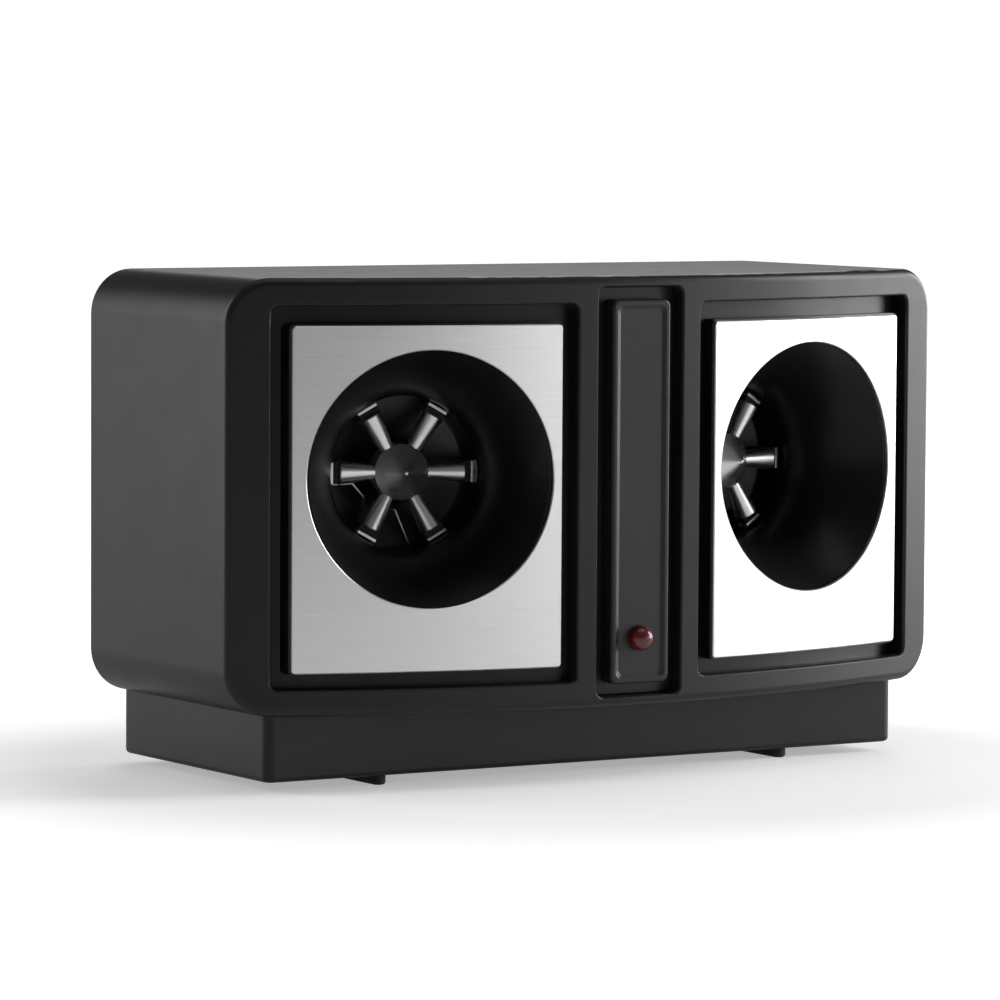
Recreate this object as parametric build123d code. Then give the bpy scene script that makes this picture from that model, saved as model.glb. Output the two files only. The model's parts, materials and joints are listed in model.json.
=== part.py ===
"""Free-standing ultrasonic pest repeller with two horn loudspeakers.

Axes: +Z up, the bowed front faces -Y, the rear cover faces +Y.  The origin is on the
surface it stands on, under the middle of the whole object.  All lengths are in mm.
"""
from build123d import *
import math
import os

# ---- overall ----
FOOT_H = 2.0            # rubber skids below the pedestal
BASE_H = 13.3           # pedestal
BASE_OUT = 2.2          # how far the pedestal stands out behind the body
BODY_W = 168.0
BODY_H = 86.0
BODY_DEPTH = 76.4       # foremost point of the bow to the rear
BOW_R = 196.0           # the front is part of a vertical cylinder
CORNER_R = 9.0
WALL = 2.0
FACE_T = 2.4
RIM_D = 3.8             # depth of the window and slot rims behind the bowed face
FLANGE_T = 2.0
EDGE_R = 1.8            # rounding of the front's outer edge
LIP_R = 0.7             # rounding of the window and slot edges

# ---- status lamp ----
LED_R = 2.5
LED_OUT = 2.8
LED_Z = 28.85

# ---- levels and planes ----
BASE_Z = FOOT_H
BODY_Z0 = BASE_Z + BASE_H
BODY_Z1 = BODY_Z0 + BODY_H
FLOOR_Z = BODY_Z0 + WALL
CEILING_Z = BODY_Z1 - WALL
Y_BACK = (BODY_DEPTH + LED_OUT - BASE_OUT) / 2
Y_APEX = Y_BACK - BODY_DEPTH
INNER_W = BODY_W / 2 - WALL

# ---- windows, face plates, centre slot and strip (x is for the right-hand side) ----
WINDOW = (14.5, 75.7, BODY_Z0 + 5.3, BODY_Z1 - 5.5)
WINDOW_R = 1.5
PLATE = (18.1, 72.1, WINDOW[2] + 3.2, WINDOW[3] - 3.95)
PLATE_R = 0.8
PLATE_T = 0.8
LEDGE = 0.35            # how far the frame's seat shows round a plate
SLOT = (-9.9, 9.9, FLOOR_Z, BODY_Z1 - 2.3)
SLOT_R = 1.6
STRIP = (-6.85, 6.85, SLOT[2] + 2.5, SLOT[3] - 2.5)
STRIP_R = 1.5
STRIP_EDGE_R = 0.6
PANEL_IN = 1.05         # width of the strip's raised rim
PANEL_SLOPE = 0.9
PANEL_D = 0.4
RIM_T = 1.5
POST_X = 12.2           # line of the screws between a window and the slot
OUTER_X = 79.2          # line of the screws outside a window
FRAME_SCREW_DZ = 30.0

# ---- loudspeakers: u across, v up, d into the body from the face plate's surface ----
HORN_BETA = 13.3        # degrees round the bow
HORN_Z = 61.6
MOUTH_R = 25.4
MOUTH_D = 1.6           # the horn's mouth is straight down to here
LIP_T = 0.8             # thickness of the mouth, which passes through the frame
SEAT_D = 4.2            # flat rear face of the frame's front wall
EAR_D = 9.6
EAR_T = 2.0
EAR_HALF = 27.0
HORN_SCREW = 23.0
THROAT_R = 15.5
THROAT_D = 20.2
HORN_T = 1.8
REAR_D = 27.0
DRIVER_FLANGE_R = 24.5
DRIVER_SCREW_R = 21.5
CAP_R = 18.5
CAP_D = 39.0

# ---- phase plug ----
TIP_D = 18.1
HUB_R = 5.3
HUB_D = 22.8
HUB_BACK = 27.6
SPOKE_D = 24.8
SPOKE_R0 = 1.25
SPOKE_R1 = 2.5
SPOKE_END = 12.8
BAR_IN = 14.1
BAR_OUT = 15.0
BAR_W = 4.6
BAR_D = 23.2
RING_T = 1.5

# ---- pedestal ----
BASE_HALF = 75.2
BASE_Y0 = Y_APEX + 18.4
BASE_Y1 = Y_BACK + BASE_OUT
BASE_WALL = 2.0
FOOT_X = 48.2
FOOT_W = 3.0
FOOT_Y0 = BASE_Y0 + 1.2
FOOT_LEN = 56.0
FOOT_SUNK = 0.8
BASE_SCREWS = [(x, y) for x in (-62.0, 62.0) for y in (BASE_Y0 + 14.0, Y_BACK - 12.0)]

# ---- rear cover ----
COVER_T = 2.4
COVER_GAP = 0.15
REAR_SCREWS = [(x, z) for x in (-77.4, 77.4) for z in (BODY_Z0 + 13.0, BODY_Z1 - 13.0)]
HEAD_POCKET_D = 1.4

# ---- circuit board and what stands on it ----
BOARD_T = 1.6
BOARD_Z0 = FLOOR_Z + 4.0
BOARD_Z1 = BOARD_Z0 + BOARD_T
BOARD_X = 52.0
BOARD_Y0 = Y_APEX + 23.0
BOARD_Y1 = Y_APEX + 72.0
BOARD_SCREWS = [(x, y) for x in (-46.0, 46.0) for y in (BOARD_Y0 + 5.0, BOARD_Y1 - 6.0)]
JACK_X = 30.0
JACK = (9.0, 14.0, 11.0)
JACK_SUNK = 0.8
JACK_Z = BOARD_Z1 + 6.5
JACK_BORE_R = 3.2
JACK_PIN_R = 1.0
SWITCH_X = -30.0
SWITCH = (12.0, 6.0, 5.6)
SWITCH_Y1 = Y_APEX + 72.5
SWITCH_Z = BOARD_Z1 + SWITCH[2] / 2
SWITCH_TRAVEL = 2.5
KNOB = (3.6, 3.0)
KNOB_SUNK = 0.4


# ---- helpers ----
def prism(x0, x1, z0, z1, r, y0, y1):
    """Rounded rectangle in XZ, run from y0 to y1."""
    plane = Plane(origin=((x0 + x1) / 2, y0, (z0 + z1) / 2), x_dir=(1, 0, 0), z_dir=(0, 1, 0))
    return extrude(plane * RectangleRounded(x1 - x0, z1 - z0, r), amount=y1 - y0)


def block(x0, x1, y0, y1, z0, z1):
    return Pos((x0 + x1) / 2, (y0 + y1) / 2, (z0 + z1) / 2) * Box(x1 - x0, y1 - y0, z1 - z0)


def behind_bow(d):
    """Everything deeper than d behind the bowed face."""
    return Pos(0, Y_APEX + BOW_R, BODY_Z0 + BODY_H / 2) * Cylinder(BOW_R - d, BODY_H + 20)


def bowed(x0, x1, z0, z1, r, d0, d1):
    """Plate that follows the bow, between depths d0 and d1, with a rounded outline."""
    outline = prism(x0, x1, z0, z1, r, Y_APEX - 1, Y_APEX + 35)
    return (outline & behind_bow(d0)) - behind_bow(d1)


def on_bow(beta, z):
    """Place on the bowed face: local +Y points straight in, local Z is up."""
    a = math.radians(beta)
    return Location((BOW_R * math.sin(a), Y_APEX + BOW_R * (1 - math.cos(a)), z), (0, 0, beta))


def speaker(side):
    return on_bow(side * HORN_BETA, HORN_Z)


def rod(r, d0, d1):
    """Cylinder along local +Y from d0 to d1."""
    return Pos(0, (d0 + d1) / 2, 0) * Rot(90, 0, 0) * Cylinder(r, d1 - d0)


def upright(x, y, z0, z1, r):
    return Pos(x, y, (z0 + z1) / 2) * Cylinder(r, z1 - z0)


def turned(points):
    """Solid of revolution about local Y from (radius, depth) points."""
    face = make_face(Polyline(*[(r, d) for r, d in points], close=True))
    return revolve(face, Axis.Y)


def horn_r(d):
    """Inside radius of the horn at depth d."""
    t = (THROAT_D - d) / (THROAT_D - MOUTH_D)
    return THROAT_R + (MOUTH_R - THROAT_R) * min(1.0, max(0.0, t)) ** 1.6


def horn_curve(d0, d1, extra=0.0, steps=8):
    depths = [d0 + (d1 - d0) * i / steps for i in range(steps + 1)]
    return Spline(*[(horn_r(d) + extra, d) for d in depths])


def screw(shank_r, length, head_r, head_h):
    """Pan-head screw along local +Y: its point is at 0 and its cross-slotted head at the far end."""
    body = rod(shank_r, 0, length) + rod(head_r, length, length + head_h)
    rim = body.edges().group_by(Axis.Y)[-1]
    body = fillet(rim, head_h * 0.45)
    for turn in (0, 90):
        slot = Pos(0, length + head_h, 0) * Rot(0, turn, 0) * Box(head_r * 1.1, head_h * 0.9, head_r * 0.28)
        body -= slot
    return body


def tube(points, r, bend):
    path = FilletPolyline(*points, radius=bend)
    section = Plane(origin=path @ 0, z_dir=path % 0) * Circle(r)
    return sweep(section, path=path)


def mirrored(shape):
    return mirror(shape, about=Plane.YZ)


# ---- housing ----
def bow_edges(shape, x_limit=None):
    """Edges of a solid that lie on the bowed face."""
    found = []
    for e in shape.edges():
        points = [e @ t for t in (0.0, 0.5, 1.0)]
        off = [abs(math.hypot(p.X, p.Y - Y_APEX - BOW_R) - BOW_R) for p in points]
        if max(off) < 0.01 and (x_limit is None or max(abs(p.X) for p in points) < x_limit):
            found.append(e)
    return found


def bow_beta(x):
    return math.degrees(math.asin(x / BOW_R))


def frame_screw_places():
    columns = (-OUTER_X, -POST_X, POST_X, OUTER_X)
    return [(x, HORN_Z + s * FRAME_SCREW_DZ - 4.0) for x in columns for s in (-1, 1)]


def make_shell():
    half = BODY_W / 2
    outer = prism(-half, half, BODY_Z0, BODY_Z1, CORNER_R, Y_APEX - 1, Y_BACK) & behind_bow(0)
    outer = fillet(bow_edges(outer), EDGE_R)
    outer = fillet(outer.edges().group_by(Axis.Y)[-1], 0.8)
    inner = prism(-INNER_W, INNER_W, FLOOR_Z, CEILING_Z, CORNER_R - WALL, Y_APEX - 1, Y_BACK + 1)
    shell = outer - (inner & behind_bow(FACE_T))
    x0, x1, z0, z1 = WINDOW
    openings = [(x0, x1, z0, z1, WINDOW_R), (-x1, -x0, z0, z1, WINDOW_R), (*SLOT, SLOT_R)]
    room_w = INNER_W + 0.5
    room = prism(-room_w, room_w, FLOOR_Z - 0.5, CEILING_Z + 0.5, CORNER_R - WALL, Y_APEX, Y_APEX + 40)
    for a, b, low, high, r in openings:
        rim = bowed(a - RIM_T, b + RIM_T, low - RIM_T, high + RIM_T, r + RIM_T, FACE_T - 0.4, RIM_D)
        shell += rim & room
    for x, z in frame_screw_places():
        shell += on_bow(bow_beta(x), z) * rod(2.5, FACE_T - 0.4, RIM_D)
    for a, b, low, high, r in openings:
        shell -= prism(a, b, low, high, r, Y_APEX - 2, Y_APEX + 26)
    shell = fillet(bow_edges(shell, x1 + 1), LIP_R)
    for x, z in frame_screw_places():
        shell -= on_bow(bow_beta(x), z) * rod(1.0, 1.2, RIM_D + 1)
    cover_y = Y_BACK - COVER_T
    for x, z in REAR_SCREWS:
        shell += Pos(x, cover_y, z) * rod(4.0, -28, 0)
        wall_x = math.copysign(room_w, x)
        shell += block(min(x, wall_x), max(x, wall_x), cover_y - 28, cover_y, z - 1.2, z + 1.2)
        shell -= Pos(x, cover_y, z) * rod(1.25, -14, 1)
    for x, y in BOARD_SCREWS:
        shell += upright(x, y, FLOOR_Z - 0.5, BOARD_Z0, 3.0)
        shell -= upright(x, y, FLOOR_Z - 1.0, BOARD_Z0 + 1, 1.1)
    for x, y in BASE_SCREWS:
        shell += upright(x, y, FLOOR_Z - 0.5, BODY_Z0 + 10.0, 3.2)
        shell -= upright(x, y, BODY_Z0 - 1, BODY_Z0 + 9.0, 1.25)
    return shell


def make_rear_cover():
    half = INNER_W - COVER_GAP
    y0 = Y_BACK - COVER_T
    low, high = FLOOR_Z + COVER_GAP, CEILING_Z - COVER_GAP
    cover = prism(-half, half, low, high, CORNER_R - WALL - COVER_GAP, y0, Y_BACK)
    cover = chamfer(cover.edges().group_by(Axis.Y)[-1], 0.3)
    for x, z in REAR_SCREWS:
        cover -= Pos(x, Y_BACK, z) * rod(3.0, -HEAD_POCKET_D, 1)
        cover -= Pos(x, Y_BACK, z) * rod(1.6, -COVER_T - 1, 0)
    w, _, h = JACK
    jack_w = w / 2 + 0.15
    cover -= block(JACK_X - jack_w, JACK_X + jack_w, y0 - 1, Y_BACK + 1, BOARD_Z1 - 0.15, BOARD_Z1 + h + 0.15)
    slot_w = KNOB[0] / 2 + SWITCH_TRAVEL + 0.5
    slot_h = KNOB[1] / 2 + 0.4
    x0, x1 = SWITCH_X - slot_w, SWITCH_X + slot_w
    z0, z1 = SWITCH_Z - slot_h, SWITCH_Z + slot_h
    cover -= prism(x0 - 2.2, x1 + 2.2, z0 - 2.0, z1 + 2.0, 1.5, Y_BACK - HEAD_POCKET_D, Y_BACK + 1)
    cover -= prism(x0, x1, z0, z1, 0.6, y0 - 1, Y_BACK + 1)
    for place in (-1, 0, 1):
        dots = place + 2
        for i in range(dots):
            x = SWITCH_X - place * SWITCH_TRAVEL * 1.6 + (i - (dots - 1) / 2) * 1.1
            cover -= Pos(x, Y_BACK, z1 + 4.2) * rod(0.35, -0.3, 1)
    return cover


def make_base():
    base = block(-BASE_HALF, BASE_HALF, BASE_Y0, BASE_Y1, BASE_Z, BODY_Z0)
    base = fillet(base.edges().filter_by(Axis.Z), 2.0)
    base = fillet(base.edges().group_by(Axis.Z)[0], 1.0)
    room = block(-BASE_HALF + BASE_WALL, BASE_HALF - BASE_WALL, BASE_Y0 + BASE_WALL, BASE_Y1 - BASE_WALL,
                 BASE_Z + BASE_WALL, BODY_Z0 + 1)
    base -= room
    for x, y in BASE_SCREWS:
        base += upright(x, y, BASE_Z + 1, BODY_Z0, 4.8)
        base -= upright(x, y, BASE_Z - 1, BASE_Z + 8.0, 3.2)
        base -= upright(x, y, BASE_Z, BODY_Z0 + 1, 1.7)
    for side in (-1, 1):
        base -= foot_solid(side, BASE_Z + FOOT_SUNK)
    for x in (-30.0, 0.0, 30.0):
        base += block(x - 0.8, x + 0.8, BASE_Y0 + 1, BASE_Y1 - 1, BASE_Z + 1, BODY_Z0 - 4.0)
    return base


def foot_solid(side, top):
    outline = Pos(side * FOOT_X, FOOT_Y0 + FOOT_LEN / 2) * SlotOverall(FOOT_LEN, FOOT_W, rotation=90)
    return extrude(outline, amount=top)


def make_foot(side):
    foot = foot_solid(side, BASE_Z + FOOT_SUNK)
    return fillet(foot.edges().group_by(Axis.Z)[0], 0.7)


def sunken_panel(x0, x1, z0, z1):
    """What is cut out of the strip's face: a shallow pocket with sloping sides."""
    outlines = []
    for depth, inset in ((-0.2, -0.2 * PANEL_SLOPE / PANEL_D), (PANEL_D, PANEL_SLOPE)):
        plane = Plane(origin=((x0 + x1) / 2, Y_APEX + depth, (z0 + z1) / 2), x_dir=(1, 0, 0), z_dir=(0, 1, 0))
        size = (x1 - x0 - 2 * inset, z1 - z0 - 2 * inset)
        outlines.append(plane * RectangleRounded(*size, 1.3 - inset * 0.5))
    return loft(outlines)


def make_strip():
    x0, x1, z0, z1 = STRIP
    bar = prism(x0, x1, z0, z1, STRIP_R, Y_APEX, Y_APEX + RIM_D + 1)
    bar = fillet(bar.edges().group_by(Axis.Y)[0], STRIP_EDGE_R)
    bar -= sunken_panel(x0 + PANEL_IN, x1 - PANEL_IN, z0 + PANEL_IN, z1 - PANEL_IN)
    flange_x = POST_X - 0.15
    strip = bar + bowed(-flange_x, flange_x, FLOOR_Z + 0.2, SLOT[3] - 0.2, 0.8, RIM_D, RIM_D + FLANGE_T)
    strip -= prism(x0 + 2, x1 - 2, z0 + 2, z1 - 2, 0.5, Y_APEX + 2, Y_APEX + 12)
    strip += Pos(0, Y_APEX, LED_Z) * rod(4.2, 1.5, 4.8)
    strip -= Pos(0, Y_APEX, LED_Z) * rod(LED_R + 0.05, -1, 8)
    for x, z in frame_screw_places():
        if abs(x) < 20:
            strip -= on_bow(bow_beta(x), z) * rod(1.15, 0, 12)
    return strip


def make_led():
    straight = 5.8
    lens = rod(LED_R, LED_R - LED_OUT, straight)
    dome = Pos(0, LED_R - LED_OUT, 0) * Sphere(LED_R)
    return Pos(0, Y_APEX, LED_Z) * (lens + dome + rod(2.9, 4.8, straight))


def make_led_leads():
    lead = block(-0.25, 0.25, Y_APEX + 5.8, Y_APEX + 14.0, LED_Z - 0.25, LED_Z + 0.25)
    return Compound(children=[Pos(x, 0, 0) * lead for x in (-1.27, 1.27)])


# ---- loudspeakers ----
def make_frame_right():
    x0, x1, z0, z1 = PLATE
    seat = bowed(x0 - LEDGE, x1 + LEDGE, z0 - LEDGE, z1 + LEDGE, PLATE_R + LEDGE, PLATE_T, RIM_D + FLANGE_T)
    flange = bowed(POST_X + 0.15, 81.3, FLOOR_Z + 0.7, CEILING_Z - 0.6, 6.0, RIM_D, RIM_D + FLANGE_T)
    place = speaker(1)
    pocket = prism(x0 + 1.2, x1 - 1.2, z0 + 1.2, z1 - 1.2, 0.6, Y_APEX - 1, Y_APEX + 35)
    pocket = pocket & (place * block(-60, 60, SEAT_D, 60, -60, 60))
    frame = (seat + flange) - pocket
    frame -= place * rod(MOUTH_R + LIP_T + 0.1, -4, SEAT_D + 8)
    for u in (-HORN_SCREW, HORN_SCREW):
        for v in (-HORN_SCREW, HORN_SCREW):
            frame += place * Pos(u, 0, v) * rod(2.6, SEAT_D - 0.4, EAR_D)
            frame -= place * Pos(u, 0, v) * rod(1.0, 3.0, EAR_D + 1)
    for x, z in frame_screw_places():
        if x > 0:
            frame -= on_bow(bow_beta(x), z) * rod(1.15, 0, 12)
    return frame


def make_plate_right():
    plate = bowed(*PLATE, PLATE_R, 0, PLATE_T)
    plate -= speaker(1) * rod(MOUTH_R, -8, 8)
    return chamfer(bow_edges(plate), 0.2)


def make_horn():
    inside = horn_curve(MOUTH_D, THROAT_D)
    outside = horn_curve(SEAT_D + 0.6, THROAT_D, HORN_T)
    lip_r = MOUTH_R + LIP_T
    section = make_face(
        Line((MOUTH_R, 0), inside @ 0)
        + inside
        + Polyline(inside @ 1, (THROAT_R, REAR_D), (THROAT_R + HORN_T, REAR_D), outside @ 1)
        + outside
        + Polyline(outside @ 0, (lip_r, SEAT_D + 0.6), (lip_r, 0), (MOUTH_R, 0))
    )
    behind_plate = Pos(0, BOW_R, 0) * Cylinder(BOW_R - PLATE_T - 0.05, 80)
    horn = revolve(section, Axis.Y) & behind_plate
    bore = rod(horn_r(EAR_D) + 0.6, EAR_D - 1, EAR_D + EAR_T + 1)
    ears = prism(-EAR_HALF, EAR_HALF, -EAR_HALF, EAR_HALF, 4.5, EAR_D, EAR_D + EAR_T) - bore
    rear = rod(DRIVER_FLANGE_R, REAR_D - 2.0, REAR_D) - rod(THROAT_R + 0.6, REAR_D - 3, REAR_D + 1)
    horn += ears
    horn += rear
    for u in (-HORN_SCREW, HORN_SCREW):
        for v in (-HORN_SCREW, HORN_SCREW):
            horn -= Pos(u, 0, v) * rod(1.2, EAR_D - 1, EAR_D + EAR_T + 1)
    for place in driver_screw_places():
        horn -= place * rod(1.0, REAR_D - 3, REAR_D + 1)
    return horn


def driver_screw_places():
    return [Rot(0, a, 0) * Pos(DRIVER_SCREW_R, 0, 0) for a in (90, 210, 330)]


def make_plug():
    cone = Spline((0.35, TIP_D + 0.1), (2.3, TIP_D + 2.2), (HUB_R, HUB_D), tangents=[(0.6, 0.8), (1, 0.75)])
    hub_face = make_face(
        cone
        + Polyline(cone @ 1, (HUB_R, HUB_BACK), (0, HUB_BACK), (0, TIP_D))
        + Line((0, TIP_D), cone @ 0)
    )
    plug = revolve(hub_face, Axis.Y)
    outward = Rot(0, 90, 0)
    spoke = Pos((4.4 + SPOKE_END) / 2, SPOKE_D, 0) * outward * Cone(SPOKE_R0, SPOKE_R1, SPOKE_END - 4.4)
    neck_w = BAR_W / 2 - 0.2
    neck = block(SPOKE_END - 0.8, BAR_IN + 0.4, BAR_D + 1.0, REAR_D + RING_T, -neck_w, neck_w)
    bar = block(BAR_IN, BAR_OUT, BAR_D, REAR_D + RING_T, -BAR_W / 2, BAR_W / 2)
    tab = block(BAR_IN, THROAT_R + 1.0, REAR_D, REAR_D + RING_T, -BAR_W / 2, BAR_W / 2)
    arm = spoke + neck + bar + tab
    for k in range(6):
        plug += Rot(0, 60 * k, 0) * arm
    ring = rod(18.0, REAR_D, REAR_D + RING_T) - rod(THROAT_R + 0.1, REAR_D - 1, REAR_D + RING_T + 1)
    return plug + ring


def make_driver_cap():
    seat = REAR_D + RING_T
    cap = turned([
        (18.1, REAR_D), (DRIVER_FLANGE_R, REAR_D), (DRIVER_FLANGE_R, REAR_D + 2.5), (CAP_R, REAR_D + 2.5),
        (CAP_R, CAP_D), (0, CAP_D), (0, CAP_D - 1.6),
        (CAP_R - 1.6, CAP_D - 1.6), (CAP_R - 1.6, seat), (18.1, seat),
    ])
    for place in driver_screw_places():
        cap -= place * rod(1.2, REAR_D - 1, REAR_D + 4)
    return cap


def make_diaphragm():
    seat = REAR_D + RING_T
    t = 0.35
    return turned([
        (16.8, seat), (16.8, seat + t), (15.0, seat + t), (3.2, seat + 4.4 + t), (3.0, seat + 5.6),
        (0, seat + 5.6), (0, seat + 4.4), (3.0, seat + 4.4), (14.8, seat),
    ])


def make_piezo_plate():
    return rod(12.5, REAR_D + RING_T + 5.6, REAR_D + RING_T + 6.0)


def make_piezo_ceramic():
    return rod(9.0, REAR_D + RING_T + 6.0, REAR_D + RING_T + 6.3)


def make_driver_leads():
    d = REAR_D + RING_T - 0.9
    first = tube([(-12.6, d, -2.6), (-8.6, d - 0.6, -2.4), (-6.0, d, -5.2), (-5.6, d + 1.6, -7.4)], 0.28, 0.7)
    second = tube([(-1.2, d + 1.4, -7.2), (0.6, d, -7.9), (1.8, d - 0.3, -11.0), (3.4, d, -14.6)], 0.28, 0.7)
    return Compound(children=[first, second])


def make_terminals():
    tags = []
    for u in (-4.0, 4.0):
        tag = block(u - 1.2, u + 1.2, CAP_D, CAP_D + 5.0, -10.3, -9.7)
        tag -= Pos(u, CAP_D + 3.4, -10.0) * Cylinder(0.6, 3)
        tags.append(tag)
    return Compound(children=tags)


# ---- circuit board ----
def make_board():
    board = block(-BOARD_X, BOARD_X, BOARD_Y0, BOARD_Y1, BOARD_Z0, BOARD_Z1)
    board = fillet(board.edges().filter_by(Axis.Z), 1.0)
    for x, y in BOARD_SCREWS:
        board -= upright(x, y, BOARD_Z0 - 1, BOARD_Z1 + 1, 1.3)
    return board


def make_jack():
    w, length, h = JACK
    face_y = Y_BACK - JACK_SUNK
    jack = block(JACK_X - w / 2, JACK_X + w / 2, face_y - length, face_y, BOARD_Z1, BOARD_Z1 + h)
    jack = fillet(jack.edges().filter_by(Axis.Y), 0.8)
    return jack - Pos(JACK_X, face_y, JACK_Z) * rod(JACK_BORE_R, -9.5, 1)


def make_jack_pin():
    face_y = Y_BACK - JACK_SUNK
    pin = Pos(JACK_X, face_y, JACK_Z) * rod(JACK_PIN_R, -9.5, -0.8)
    return fillet(pin.edges().group_by(Axis.Y)[-1], 0.5)


def make_switch_can():
    w, length, h = SWITCH
    x0, x1 = SWITCH_X - w / 2, SWITCH_X + w / 2
    y0 = SWITCH_Y1 - length
    z0, z1 = BOARD_Z1, BOARD_Z1 + h
    can = block(x0, x1, y0, SWITCH_Y1, z0, z1)
    can -= block(x0 + 0.5, x1 - 0.5, y0 + 0.5, SWITCH_Y1 - 0.5, z0 + 0.5, z1 - 0.5)
    neck = 0.9 + SWITCH_TRAVEL + 0.4
    return can - Pos(SWITCH_X, 0, SWITCH_Z) * block(-neck, neck, SWITCH_Y1 - 1, SWITCH_Y1 + 1, -1.3, 1.3)


def make_switch_knob():
    slider = block(-2.2, 2.2, SWITCH_Y1 - 4.6, SWITCH_Y1 - 0.9, -1.9, 1.9)
    neck = block(-0.9, 0.9, SWITCH_Y1 - 1, SWITCH_Y1 + 0.5, -0.9, 0.9)
    tip_y = Y_BACK - KNOB_SUNK
    grip = block(-KNOB[0] / 2, KNOB[0] / 2, SWITCH_Y1 + 0.4, tip_y, -KNOB[1] / 2, KNOB[1] / 2)
    grip = fillet(grip.edges().group_by(Axis.Y)[-1], 0.3)
    for x in (-0.9, 0.0, 0.9):
        grip -= block(x - 0.2, x + 0.2, tip_y - 0.3, tip_y + 1, -2, 2)
    return Pos(SWITCH_X, 0, SWITCH_Z) * (slider + neck + grip)


def make_chip(x, y):
    chip = block(x - 9.6, x + 9.6, y - 3.2, y + 3.2, BOARD_Z1 + 0.6, BOARD_Z1 + 4.0)
    chip -= upright(x - 9.6, y, BOARD_Z1 + 3.2, BOARD_Z1 + 5, 1.0)
    for i in range(7):
        for side in (-1, 1):
            leg_x = x + (i - 3) * 2.54
            leg_y = y + side * 3.7
            near, far = sorted((y, leg_y))
            chip += block(leg_x - 0.3, leg_x + 0.3, near, far, BOARD_Z1 + 1.8, BOARD_Z1 + 2.2)
            chip += block(leg_x - 0.3, leg_x + 0.3, leg_y - 0.2, leg_y + 0.2, BOARD_Z1, BOARD_Z1 + 2.2)
    return chip


def make_capacitor(x, y, r, h):
    can = upright(x, y, BOARD_Z1, BOARD_Z1 + h, r)
    can = fillet(can.edges().group_by(Axis.Z)[-1], 0.5)
    can -= block(x - r * 0.6, x + r * 0.6, y - 0.15, y + 0.15, BOARD_Z1 + h - 0.3, BOARD_Z1 + h + 1)
    can -= block(x - 0.15, x + 0.15, y - r * 0.6, y + r * 0.6, BOARD_Z1 + h - 0.3, BOARD_Z1 + h + 1)
    return can


def make_coil(x, y):
    core = upright(x, y, BOARD_Z1, BOARD_Z1 + 8.4, 2.6)
    core += upright(x, y, BOARD_Z1, BOARD_Z1 + 1.4, 5.0)
    return core + upright(x, y, BOARD_Z1 + 7.0, BOARD_Z1 + 8.4, 5.0)


def make_winding(x, y):
    return upright(x, y, BOARD_Z1 + 1.4, BOARD_Z1 + 7.0, 4.4) - upright(x, y, BOARD_Z1, BOARD_Z1 + 9, 2.6)


def make_transistor(x, y):
    body = upright(x, y, BOARD_Z1 + 2.0, BOARD_Z1 + 6.6, 2.3)
    body -= block(x - 3, x + 3, y + 1.2, y + 4, BOARD_Z1, BOARD_Z1 + 8)
    for i in (-1, 0, 1):
        body += block(x + i * 1.27 - 0.2, x + i * 1.27 + 0.2, y - 0.2, y + 0.2, BOARD_Z1, BOARD_Z1 + 2.5)
    return body


def make_regulator(x, y):
    body = block(x - 5, x + 5, y, y + 4.4, BOARD_Z1 + 1.5, BOARD_Z1 + 10.5)
    tab = block(x - 5, x + 5, y + 4.4, y + 5.7, BOARD_Z1 + 1.5, BOARD_Z1 + 16.5)
    tab -= Pos(x, y + 5, BOARD_Z1 + 13.7) * rod(1.8, -3, 3)
    for i in (-1, 0, 1):
        body += block(x + i * 2.54 - 0.4, x + i * 2.54 + 0.4, y + 1.5, y + 2.1, BOARD_Z1, BOARD_Z1 + 2)
    return body + tab


def make_header(x, y):
    header = block(x - 3.6, x + 3.6, y - 2.8, y + 2.8, BOARD_Z1, BOARD_Z1 + 5.5)
    return fillet(header.edges().filter_by(Axis.Z), 0.5)


HEADER_Y = Y_APEX + 46.0
HEADER_X = 44.0
LED_HEADER = (0.0, Y_APEX + 32.0)


def make_speaker_wire(side, u):
    """Insulated lead from the board's header to one terminal of the driver."""
    end = (speaker(side) * Pos(u, CAP_D + 3.4, -11.2)).position
    start_x = side * HEADER_X + u * 0.4
    low = BOARD_Z1 + 5.5
    points = [
        (start_x, HEADER_Y, low),
        (start_x, HEADER_Y, low + 5.0),
        (end.X, end.Y + 2.0, end.Z - 6.5),
        (end.X, end.Y, end.Z),
    ]
    return tube(points, 0.7, 1.8)


def make_led_wire(x):
    y = Y_APEX + 14.0
    hx, hy = LED_HEADER
    low = BOARD_Z1 + 5.5
    points = [(x, y, LED_Z), (x, y + 6.0, LED_Z + 0.6), (hx + x, hy, low + 4.0), (hx + x, hy, low)]
    return tube(points, 0.55, 1.5)


# ---- fasteners ----
def make_rear_screws():
    places = [Pos(x, Y_BACK - HEAD_POCKET_D - 10.0, z) for x, z in REAR_SCREWS]
    return Compound(children=[p * screw(1.25, 10.0, 2.8, 1.3) for p in places])


def make_base_screws():
    places = [Pos(x, y, BODY_Z0 + 7.0) * Rot(-90, 0, 0) for x, y in BASE_SCREWS]
    return Compound(children=[p * screw(1.25, 12.3, 2.8, 1.6) for p in places])


def make_board_screws():
    places = [Pos(x, y, FLOOR_Z - 0.6) * Rot(90, 0, 0) for x, y in BOARD_SCREWS]
    return Compound(children=[p * screw(1.1, BOARD_Z1 - FLOOR_Z + 0.6, 2.3, 1.4) for p in places])


def make_frame_screws():
    places = [on_bow(bow_beta(x), z) * Pos(0, 1.5, 0) for x, z in frame_screw_places()]
    return Compound(children=[p * screw(1.0, RIM_D + FLANGE_T - 1.45, 2.2, 1.3) for p in places])


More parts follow.
